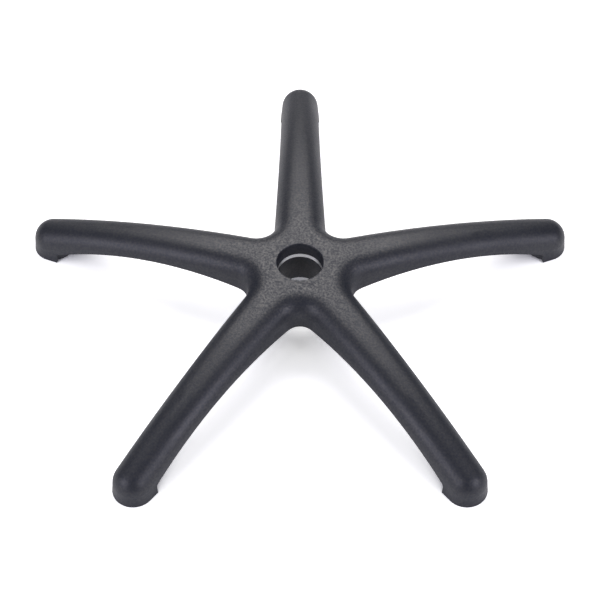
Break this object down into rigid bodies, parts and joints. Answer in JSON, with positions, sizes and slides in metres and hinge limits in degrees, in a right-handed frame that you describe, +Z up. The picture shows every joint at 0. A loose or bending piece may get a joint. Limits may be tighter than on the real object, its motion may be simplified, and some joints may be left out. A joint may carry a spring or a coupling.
{
  "type": "office chair five star base",
  "caption": "Black ribbed nylon star base for an office chair, with arched tapering arms, a steel-ringed tapered hub bore and caster sockets.",
  "frame": {"origin": "hub axis, on the plane that the arms' tips stand on", "axes": "+Z up along the hub axis, +Y along the rear arm, +X to the right seen from the front"},
  "size_m": [0.6032, 0.5759, 0.082],
  "materials": {
    "black_nylon": "fine moulded grain",
    "ring_steel": "turned, satin"
  },
  "bodies": {
    "root": {"star_base": "black_nylon", "hub_ring": "ring_steel"}
  },
  "joints": []
}
